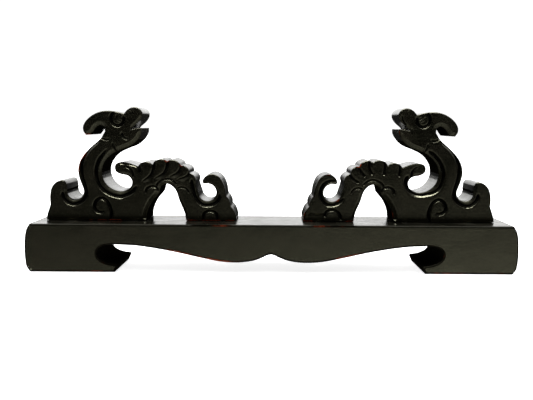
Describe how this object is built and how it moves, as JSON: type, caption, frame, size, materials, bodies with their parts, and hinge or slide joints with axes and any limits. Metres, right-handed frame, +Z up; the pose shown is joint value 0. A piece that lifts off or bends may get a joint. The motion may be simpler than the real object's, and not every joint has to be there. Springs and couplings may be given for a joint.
{
  "type": "carved display stand",
  "caption": "Low lacquered wooden display stand on hooked scroll feet, with a wavy apron and facing carved dragons whose backs and necks cradle the object on show.",
  "frame": {"origin": "on the floor, under the middle of the base", "axes": "+X along the stand to the viewer's right, +Y from its front to its back, +Z up"},
  "size_m": [0.3, 0.05, 0.1005],
  "materials": {
    "lacquered_wood": "satin to gloss black-brown lacquer over fine-grained wood, red-brown undercoat showing on worn edges",
    "dowel_wood": "bare turned hardwood",
    "screw_steel": "plain plated steel, slightly dulled"
  },
  "bodies": {
    "root": {"base_board": "lacquered_wood", "left_dragon": "lacquered_wood", "right_dragon": "lacquered_wood", "left_body_dowel": "dowel_wood", "left_body_screw": "screw_steel", "left_tail_dowel": "dowel_wood", "left_tail_screw": "screw_steel", "right_body_dowel": "dowel_wood", "right_body_screw": "screw_steel", "right_tail_dowel": "dowel_wood", "right_tail_screw": "screw_steel"}
  },
  "joints": []
}
